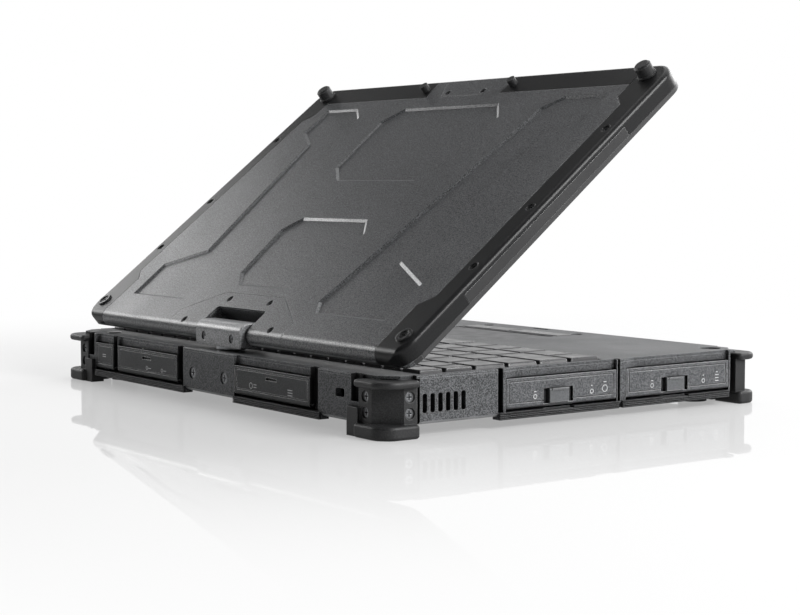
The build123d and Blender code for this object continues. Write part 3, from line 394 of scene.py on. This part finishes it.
# ------------------------------------------------------------------ swivel hinge
# The block that swivels and carries the lid's tilt pins is die-cast and painted, with a smoother
# coat that shines more. Its edges are pale, partly wear and partly a painted highlight. Its shaft and
# pins are turned steel in a bronze bearing.
block_paint = texture_paint("satin_paint_on_hinge", "#58595b", "#8c8d8f", "#e0e1e2", 0.6, 0.03, 0.33, 0.6)
dress(block_paint, "hinge_block")


def turned_metal(name, low, high, roughness, grain_mm):
    """Machined metal with faint tool marks and a slight stain."""
    material, tree, place = start_material(name)
    marks = noise(tree, place, grain_mm, 3.0)
    stains = noise(tree, place, 9, 2.0)
    colour = add(tree, "ShaderNodeMix", {"data_type": "RGBA"},
                 {0: stains, 6: linear(low), 7: linear(high)})
    rounded = rounded_normal(tree, 0.3)
    bump = add(tree, "ShaderNodeBump", inputs={
        "Height": marks, "Normal": rounded, "Strength": 0.3, "Distance": 0.00002})
    # Painted shade: the colour darkens in seams and recesses.
    shaded = painted_crevice_shade(tree, colour.outputs["Result"], 1.5, 0.1)
    finish_material(tree, shaded, roughness, bump.outputs["Normal"], metallic=1.0)
    return material


pin_steel = turned_metal("turned_steel", "#8d8f92", "#b5b7b9", 0.3, 0.4)
bearing_bronze = turned_metal("sintered_bronze", "#8a6a3e", "#b08d57", 0.42, 0.5)
cast_aluminium = turned_metal("cast_aluminium", "#8f9193", "#a9abad", 0.5, 0.8)
dress(pin_steel, "swivel_shaft", "tilt_pins")
dress(bearing_bronze, "swivel_bearing")
dress(cast_aluminium, "hinge_brackets", "heat_sink")

# ------------------------------------------------------------------ screws
# Cross-head machine screws, driven into counterbores in the bumpers, the rear plate, the
# underside, the hinge block and the lid. They are coated steel, and oxide black in the lid.
screw_steel = turned_metal("black_coated_steel", "#5e5f61", "#8e8f91", 0.34, 0.4)
lid_screw_steel = turned_metal("black_oxide_steel", "#161617", "#3a3b3c", 0.4, 0.4)

screw_tree = bpy.data.node_groups.new("cross_head_screws", "GeometryNodeTree")
for label, kind in (("Seats", "NodeSocketGeometry"), ("Head height", "NodeSocketFloat"),
                    ("Cross width", "NodeSocketFloat"), ("Cross depth", "NodeSocketFloat"),
                    ("Finish", "NodeSocketMaterial")):
    screw_tree.interface.new_socket(label, in_out="INPUT", socket_type=kind)
screw_tree.interface.new_socket("Screws", in_out="OUTPUT", socket_type="NodeSocketGeometry")
screw_in = add(screw_tree, "NodeGroupInput").outputs
head = add(screw_tree, "GeometryNodeMeshCylinder", inputs={
    "Vertices": 24, "Radius": 1.0, "Depth": screw_in["Head height"]})
half_down = add(screw_tree, "ShaderNodeMath", {"operation": "MULTIPLY"},
                {0: screw_in["Head height"], 1: -0.5})
sink = add(screw_tree, "ShaderNodeCombineXYZ", inputs={"Z": half_down.outputs[0]})
head_low = add(screw_tree, "GeometryNodeTransform", inputs={
    "Geometry": head.outputs["Mesh"], "Translation": sink.outputs["Vector"]})
cross_deep = add(screw_tree, "ShaderNodeMath", {"operation": "MULTIPLY"},
                 {0: screw_in["Cross depth"], 1: 2.0})
cross_span = 1.25
bars = []
for wide, narrow in ((cross_span, None), (None, cross_span)):
    size = add(screw_tree, "ShaderNodeCombineXYZ", inputs={"Z": cross_deep.outputs[0]})
    for axis, value in (("X", wide), ("Y", narrow)):
        if value is None:
            screw_tree.links.new(screw_in["Cross width"], size.inputs[axis])
        else:
            size.inputs[axis].default_value = value
    bars.append(add(screw_tree, "GeometryNodeMeshCube", inputs={"Size": size.outputs["Vector"]}))
cut = add(screw_tree, "GeometryNodeMeshBoolean", {"operation": "DIFFERENCE", "solver": "EXACT"},
          {"Mesh 1": head_low.outputs["Geometry"]})
for bar in bars:
    screw_tree.links.new(bar.outputs["Mesh"], cut.inputs["Mesh 2"])
axis_read = add(screw_tree, "GeometryNodeInputNamedAttribute",
                {"data_type": "FLOAT_VECTOR"}, {"Name": "axis"})
radius_read = add(screw_tree, "GeometryNodeInputNamedAttribute",
                  {"data_type": "FLOAT"}, {"Name": "head_radius"})
turn = add(screw_tree, "FunctionNodeAlignRotationToVector", {"axis": "Z"},
           {"Vector": axis_read.outputs["Attribute"]})
set_screws = add(screw_tree, "GeometryNodeInstanceOnPoints", inputs={
    "Points": screw_in["Seats"], "Instance": cut.outputs["Mesh"],
    "Rotation": turn.outputs["Rotation"], "Scale": radius_read.outputs["Attribute"]})
real_screws = add(screw_tree, "GeometryNodeRealizeInstances", inputs={
    "Geometry": set_screws.outputs["Instances"]})
coated = add(screw_tree, "GeometryNodeSetMaterial", inputs={
    "Geometry": real_screws.outputs["Geometry"], "Material": screw_in["Finish"]})
add(screw_tree, "NodeGroupOutput", inputs={"Screws": coated.outputs["Geometry"]})


def solids_of(node_name):
    """The corners of each separate solid in a CAD node."""
    work = bmesh.new()
    work.from_mesh(nodes[node_name].data)
    bmesh.ops.remove_doubles(work, verts=work.verts, dist=1e-6)
    unseen = set(work.verts)
    groups = []
    while unseen:
        stack = [unseen.pop()]
        found = []
        while stack:
            vert = stack.pop()
            found.append(vert.co.copy())
            for edge in vert.link_edges:
                other = edge.other_vert(vert)
                if other in unseen:
                    unseen.remove(other)
                    stack.append(other)
        groups.append(found)
    work.free()
    return groups


def extent(points, direction):
    """Lowest and highest reach of some points along a direction."""
    reach = [point.dot(direction) for point in points]
    return min(reach), max(reach)


def set_inputs(modifier, tree, values):
    """Sets a modifier's inputs by the identifier of each named socket."""
    for item in tree.interface.items_tree:
        if item.in_out == "INPUT" and item.name in values:
            modifier[item.identifier] = values[item.name]


def plain_mesh(piece, name):
    """The evaluated piece as a plain mesh object, with its modifiers gone."""
    bpy.context.view_layer.update()
    depsgraph = bpy.context.evaluated_depsgraph_get()
    result = link_piece(name, bpy.data.meshes.new_from_object(piece.evaluated_get(depsgraph)))
    bpy.data.objects.remove(piece)
    return result


lid_opening_deg = 38.3
tilt = Matrix.Rotation(math.radians(-lid_opening_deg), 3, "X")
frames = {
    "upright": [Vector((1, 0, 0)), Vector((0, 1, 0)), Vector((0, 0, 1))],
    "lid": [tilt @ Vector((1, 0, 0)), tilt @ Vector((0, 1, 0)), tilt @ Vector((0, 0, 1))],
}
# A screw past these places, in metres, faces to the rear or right, or up. Others face the other way.
outward_past = 0.01
upward_past = 0.02


def seats_of(node_name, kind):
    """Where each screw's head lies, which way it faces and how wide it is."""
    seats = []
    for points in solids_of(node_name):
        spans = [extent(points, axis) for axis in frames[kind]]
        sizes = [high - low for low, high in spans]
        if kind == "lid":
            along = 2
        else:
            along = max(range(3), key=lambda i: (
                abs(sizes[i] - sizes[(i + 1) % 3]) + abs(sizes[i] - sizes[(i + 2) % 3])))
        middle = [(low + high) / 2 for low, high in spans]
        high_up = along == 2 and middle[2] > upward_past
        sign = 1 if kind == "lid" or middle[along] > outward_past or high_up else -1
        middle[along] = spans[along][1] if sign > 0 else spans[along][0]
        place = sum((frames[kind][i] * middle[i] for i in range(3)), Vector())
        radius = max(sizes[i] for i in range(3) if i != along) / 2
        seats.append((place, frames[kind][along] * sign, radius))
    return seats


for node_name, kind, body in (
    ("bumper_screws", "upright", "base"), ("case_screws", "upright", "base"),
    ("block_screws", "upright", "swivel"), ("lid_screws", "lid", "lid"),
):
    seats = seats_of(node_name, kind)
    seat_mesh = bpy.data.meshes.new(node_name + "_seats")
    seat_mesh.from_pydata([seat[0] for seat in seats], [], [])
    seat_mesh.attributes.new("axis", "FLOAT_VECTOR", "POINT")
    seat_mesh.attributes.new("head_radius", "FLOAT", "POINT")
    for index, (place, axis, radius) in enumerate(seats):
        seat_mesh.attributes["axis"].data[index].vector = axis
        seat_mesh.attributes["head_radius"].data[index].value = radius
    piece = link_piece(node_name + "_seats", seat_mesh)
    setting = piece.modifiers.new("screws", "NODES")
    setting.node_group = screw_tree
    set_inputs(setting, screw_tree, {
        "Head height": 0.5, "Cross width": 0.24, "Cross depth": 0.3,
        "Finish": lid_screw_steel if body == "lid" else screw_steel})
    screws = plain_mesh(piece, node_name + "_heads")
    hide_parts(node_name)
    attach(screws, body)

# ------------------------------------------------------------------ keyboard
# Injection-moulded caps in satin black on guide stems. Each has sloping sides, rounded corners
# and a slightly hollow top, polished by fingers. They stand over a stamped steel tray.


def moulded_plastic(name, colour, grain_mm, bump_mm, rough_low, rough_high, specular=0.5):
    """Moulded plastic with a fine grain and patches polished by use."""
    material, tree, place = start_material(name)
    grain = noise(tree, place, grain_mm, 2.0)
    polish = noise(tree, place, 9, 2.0)
    roughness = add(tree, "ShaderNodeMapRange", inputs={
        "Value": polish, "From Min": 0.3, "From Max": 0.7, "To Min": rough_low, "To Max": rough_high})
    dusting = add(tree, "ShaderNodeMapRange", inputs={
        "Value": grain, "From Min": 0.3, "From Max": 0.7, "To Min": 0.85, "To Max": 1.15})
    dusty = add(tree, "ShaderNodeVectorMath", {"operation": "SCALE"},
                {0: linear(colour)[:3], "Scale": dusting.outputs["Result"]})
    # Painted shade: the colour darkens in seams and recesses.
    shaded = painted_crevice_shade(tree, dusty.outputs["Vector"], 2.0, 0.2)
    rounded = rounded_normal(tree, 0.3)
    bump = add(tree, "ShaderNodeBump", inputs={
        "Height": grain, "Normal": rounded, "Strength": 0.35, "Distance": bump_mm / 1000})
    finish_material(tree, shaded, roughness.outputs["Result"], bump.outputs["Normal"], specular)
    return material


key_plastic = moulded_plastic("satin_key_plastic", "#2b2b2d", 0.7, 0.02, 0.26, 0.38, 0.6)
tray_paint = moulded_plastic("painted_steel_tray", "#1a1a1b", 0.5, 0.02, 0.45, 0.55)
dress(tray_paint, "keyboard_tray")

cap_tree = bpy.data.node_groups.new("key_caps", "GeometryNodeTree")
for label, kind in (("Footprints", "NodeSocketGeometry"), ("Side height", "NodeSocketFloat"),
                    ("Dish depth", "NodeSocketFloat"), ("Top share", "NodeSocketFloat"),
                    ("Dish share", "NodeSocketFloat"), ("Finish", "NodeSocketMaterial")):
    cap_tree.interface.new_socket(label, in_out="INPUT", socket_type=kind)
cap_tree.interface.new_socket("Caps", in_out="OUTPUT", socket_type="NodeSocketGeometry")
cap_in = add(cap_tree, "NodeGroupInput").outputs
cap_up = add(cap_tree, "ShaderNodeCombineXYZ", inputs={"Z": cap_in["Side height"]})
cap_body = add(cap_tree, "GeometryNodeExtrudeMesh", {"mode": "FACES"}, {
    "Mesh": cap_in["Footprints"], "Offset": cap_up.outputs["Vector"], "Offset Scale": 1.0,
    "Individual": True})
cap_slope = add(cap_tree, "GeometryNodeScaleElements", {"domain": "FACE"}, {
    "Geometry": cap_body.outputs["Mesh"], "Selection": cap_body.outputs["Top"],
    "Scale": cap_in["Top share"]})
cap_down = add(cap_tree, "ShaderNodeCombineXYZ", inputs={"Z": cap_in["Dish depth"]})
cap_dish = add(cap_tree, "GeometryNodeExtrudeMesh", {"mode": "FACES"}, {
    "Mesh": cap_slope.outputs["Geometry"], "Selection": cap_body.outputs["Top"],
    "Offset": cap_down.outputs["Vector"], "Offset Scale": 1.0, "Individual": True})
cap_hollow = add(cap_tree, "GeometryNodeScaleElements", {"domain": "FACE"}, {
    "Geometry": cap_dish.outputs["Mesh"], "Selection": cap_dish.outputs["Top"],
    "Scale": cap_in["Dish share"]})
cap_real = add(cap_tree, "GeometryNodeRealizeInstances", inputs={
    "Geometry": cap_hollow.outputs["Geometry"]})
cap_coat = add(cap_tree, "GeometryNodeSetMaterial", inputs={
    "Geometry": cap_real.outputs["Geometry"], "Material": cap_in["Finish"]})
add(cap_tree, "NodeGroupOutput", inputs={"Caps": cap_coat.outputs["Geometry"]})

cap_skirt = 0.0026
for row in ("keys_function_row", "keys_number_row", "keys_tab_row", "keys_caps_row", "keys_shift_row",
            "keys_control_row", "space_bar"):
    corners = []
    faces = []
    for points in solids_of(row):
        west, east = extent(points, Vector((1, 0, 0)))
        front, rear = extent(points, Vector((0, 1, 0)))
        top = extent(points, Vector((0, 0, 1)))[1]
        base = top - cap_skirt
        first = len(corners)
        corners += [(west, front, base), (east, front, base), (east, rear, base), (west, rear, base)]
        faces.append((first, first + 3, first + 2, first + 1))
    footprints = bpy.data.meshes.new(row + "_footprints")
    footprints.from_pydata(corners, [], faces)
    piece = link_piece(row + "_footprints", footprints)
    shaping = piece.modifiers.new("caps", "NODES")
    shaping.node_group = cap_tree
    set_inputs(shaping, cap_tree, {
        "Side height": cap_skirt, "Dish depth": -0.0002, "Top share": 0.93, "Dish share": 0.8,
        "Finish": key_plastic})
    rounding = piece.modifiers.new("rounding", "BEVEL")
    rounding.width = 0.0007
    rounding.segments = 2
    rounding.limit_method = "ANGLE"
    rounding.angle_limit = math.radians(35)
    caps = plain_mesh(piece, row + "_caps")
    repair = bmesh.new()
    repair.from_mesh(caps.data)
    bmesh.ops.remove_doubles(repair, verts=repair.verts, dist=1e-6)
    bmesh.ops.recalc_face_normals(repair, faces=repair.faces)
    repair.to_mesh(caps.data)
    repair.free()
    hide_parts(row)
    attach(caps, row + "_body")

# ------------------------------------------------------------------ touchpad and buttons
# A matt pad with two moulded buttons below it, and a round power button at the rear right.
pad_plastic = moulded_plastic("matt_pad_plastic", "#2f3032", 0.5, 0.015, 0.42, 0.52)
dress(pad_plastic, "touchpad")
dress(key_plastic, "touchpad_button_left", "touchpad_button_right", "power_button", "bezel_buttons")

# ------------------------------------------------------------------ display
# A matt black moulded frame round a sheet of dark glass over the panel, with a camera window
# above and five buttons below. The panel is off, so it only gives a deep grey reflection.
bezel_plastic = moulded_plastic("matt_bezel_plastic", "#1f1f20", 0.6, 0.03, 0.45, 0.58)
dress(bezel_plastic, "lid_bezel", "camera_module")
cover_glass = moulded_plastic("coated_cover_glass", "#0b0c0e", 0.4, 0.0005, 0.06, 0.1, 0.5)
dress(cover_glass, "display_glass")
panel_black = moulded_plastic("unlit_panel", "#08090a", 0.3, 0.001, 0.2, 0.3)
dress(panel_black, "display_panel")

# ------------------------------------------------------------------ inside parts
# Seen only through the vents or with a door open: the main board with its cards and sockets, the
# fan and heat sink, the speakers, and the modules behind the doors.
board_green = moulded_plastic("solder_mask_on_board", "#16321f", 0.8, 0.02, 0.35, 0.5)
fan_plastic = moulded_plastic("glass_filled_nylon", "#1c1c1d", 0.5, 0.02, 0.45, 0.6)
module_paint = moulded_plastic("painted_module_case", "#3a3b3c", 0.6, 0.02, 0.4, 0.5)
socket_plate = turned_metal("plated_steel_sockets", "#8c8c8a", "#a8a8a5", 0.35, 0.5)
dress(board_green, "motherboard", "memory_module", "wireless_card")
dress(fan_plastic, "fan_housing", "fan_rotor", "speakers")
dress(module_paint, "drive_module", "battery_pack", "media_module")
dress(socket_plate, "rear_connectors")

# ------------------------------------------------------------------ floor, light and camera
# A white sweep with a polished middle that mirrors the base when seen from low down, under plain
# studio light: a large lamp overhead, one in front, one at the left side, and two small ones on
# the right, one of them behind, for the panel edges. Distances are in metres from the middle.
floor_reach = 30.0
floor_mesh = bpy.data.meshes.new("floor")
floor_mesh.from_pydata([(-floor_reach, -floor_reach, 0), (floor_reach, -floor_reach, 0),
                        (floor_reach, floor_reach, 0), (-floor_reach, floor_reach, 0)], [], [(0, 1, 2, 3)])
floor = link_piece("floor", floor_mesh)
sweep, tree, place = start_material("white_sweep")
distance = add(tree, "ShaderNodeVectorMath", {"operation": "LENGTH"}, {0: place}).outputs["Value"]
polish = add(tree, "ShaderNodeMapRange", {"interpolation_type": "SMOOTHSTEP"}, {
    "Value": distance, "From Min": 0.12, "From Max": 0.5, "To Min": 0.5, "To Max": 0.0})
slant = add(tree, "ShaderNodeLayerWeight", inputs={"Blend": 0.5}).outputs["Facing"]
low_view = add(tree, "ShaderNodeMapRange", {"interpolation_type": "SMOOTHSTEP"}, {
    "Value": slant, "From Min": 0.68, "From Max": 0.86, "To Min": 0.0, "To Max": 1.0})
shine = add(tree, "ShaderNodeMath", {"operation": "MULTIPLY"}, {
    0: polish.outputs["Result"], 1: low_view.outputs["Result"]})
matt = add(tree, "ShaderNodeBsdfDiffuse", inputs={"Color": linear("#cbcbcb")})
mirror = add(tree, "ShaderNodeBsdfGlossy", inputs={"Color": (1, 1, 1, 1), "Roughness": 0.02})
surface = add(tree, "ShaderNodeMixShader", inputs={
    0: shine.outputs[0], 1: matt.outputs[0], 2: mirror.outputs[0]})
bright = add(tree, "ShaderNodeEmission", inputs={"Color": (1, 1, 1, 1), "Strength": 1.0})
path = add(tree, "ShaderNodeLightPath").outputs
behind = add(tree, "ShaderNodeSeparateXYZ", inputs={"Vector": place}).outputs["Y"]
flag = add(tree, "ShaderNodeMapRange", inputs={
    "Value": behind, "From Min": 0.2, "From Max": 0.9, "To Min": 1.0, "To Max": 0.1}).outputs["Result"]
shiny = add(tree, "ShaderNodeMath", {"operation": "MULTIPLY"}, {0: path["Is Glossy Ray"], 1: flag})
seen = add(tree, "ShaderNodeMath", {"operation": "MAXIMUM"}, {0: path["Is Camera Ray"], 1: shiny.outputs[0]})
beyond = add(tree, "ShaderNodeMapRange", {"interpolation_type": "SMOOTHSTEP"}, {
    "Value": distance, "From Min": 0.18, "From Max": 0.6, "To Min": 0.36, "To Max": 1.0})
fade = add(tree, "ShaderNodeMath", {"operation": "MULTIPLY"},
           {0: beyond.outputs["Result"], 1: seen.outputs[0]})
blend = add(tree, "ShaderNodeMixShader", inputs={
    0: fade.outputs[0], 1: surface.outputs[0], 2: bright.outputs[0]})
add(tree, "ShaderNodeOutputMaterial", inputs={"Surface": blend.outputs[0]})
floor_mesh.materials.append(sweep)

world = bpy.data.worlds.new("studio")
bpy.context.scene.world = world
world.use_nodes = True
tree = world.node_tree
tree.nodes.clear()
path = add(tree, "ShaderNodeLightPath").outputs
mirrored = add(tree, "ShaderNodeMath", {"operation": "MAXIMUM"},
               {0: path["Is Glossy Ray"], 1: path["Is Transmission Ray"]})
heading = add(tree, "ShaderNodeTexCoord").outputs["Generated"]
towards = add(tree, "ShaderNodeSeparateXYZ", inputs={"Vector": heading}).outputs
ceiling = add(tree, "ShaderNodeMapRange", {"interpolation_type": "SMOOTHSTEP"}, {
    "Value": towards["Z"], "From Min": 0.28, "From Max": 0.6, "To Min": 1.0, "To Max": 0.08})
black_flag = add(tree, "ShaderNodeMapRange", {"interpolation_type": "SMOOTHSTEP"}, {
    "Value": towards["Y"], "From Min": 0.0, "From Max": 0.45, "To Min": 1.0, "To Max": 0.08})
walls = add(tree, "ShaderNodeMath", {"operation": "MULTIPLY"},
            {0: ceiling.outputs["Result"], 1: black_flag.outputs["Result"]}).outputs[0]
room = add(tree, "ShaderNodeBackground", inputs={"Color": (1, 1, 1, 1), "Strength": 0.12})
panels = add(tree, "ShaderNodeBackground", inputs={"Color": (1, 1, 1, 1), "Strength": walls})
backdrop = add(tree, "ShaderNodeBackground", inputs={"Color": (1, 1, 1, 1), "Strength": 1.0})
lit = add(tree, "ShaderNodeMixShader", inputs={
    0: mirrored.outputs[0], 1: room.outputs[0], 2: panels.outputs[0]})
mixed = add(tree, "ShaderNodeMixShader", inputs={
    0: path["Is Camera Ray"], 1: lit.outputs[0], 2: backdrop.outputs[0]})
add(tree, "ShaderNodeOutputWorld", inputs={"Surface": mixed.outputs[0]})


def softbox(name, place, target, width, height, power):
    """Rectangular lamp aimed at a point, and out of the camera's sight."""
    lamp = bpy.data.lights.new(name, "AREA")
    lamp.shape = "RECTANGLE"
    lamp.size = width
    lamp.size_y = height
    lamp.energy = power
    holder = bpy.data.objects.new(name, lamp)
    holder.visible_camera = False
    bpy.context.collection.objects.link(holder)
    aim = Vector(target) - Vector(place)
    holder.matrix_world = Matrix.Translation(place) @ aim.to_track_quat("-Z", "Y").to_matrix().to_4x4()


softbox("overhead", (0.2, -0.6, 1.4), (0, 0, 0), 1.6, 1.6, 14)
softbox("front", (0.2, -1.5, 0.75), (0, 0, 0), 1.2, 0.8, 14)
softbox("left_side", (-1.25, -0.45, 0.8), (0, -0.02, 0.02), 0.8, 0.6, 33)
softbox("edge_strip", (1.15, 0.66, 0.56), (0, 0, 0.1), 0.6, 0.35, 6)
softbox("sheen", (1.3, 0.0, 0.5), (0, 0, 0.1), 0.7, 0.3, 2.5)

lens = bpy.data.cameras.new("camera")
lens.lens = 77.33
lens.sensor_width = 36.0
lens.clip_start = 0.01
camera = bpy.data.objects.new("camera", lens)
bpy.context.collection.objects.link(camera)
ahead = Vector((0.80406, -0.59022, -0.07159)).normalized()
right = Vector((-0.5917, -0.8061, 0.0003)).normalized()
above = right.cross(ahead).normalized()
right = ahead.cross(above)
camera.matrix_world = (Matrix.Translation((-0.71966, 0.52168, 0.10642))
                       @ Matrix((right, above, -ahead)).transposed().to_4x4())
bpy.context.scene.camera = camera
bpy.context.scene.view_settings.view_transform = "Standard"
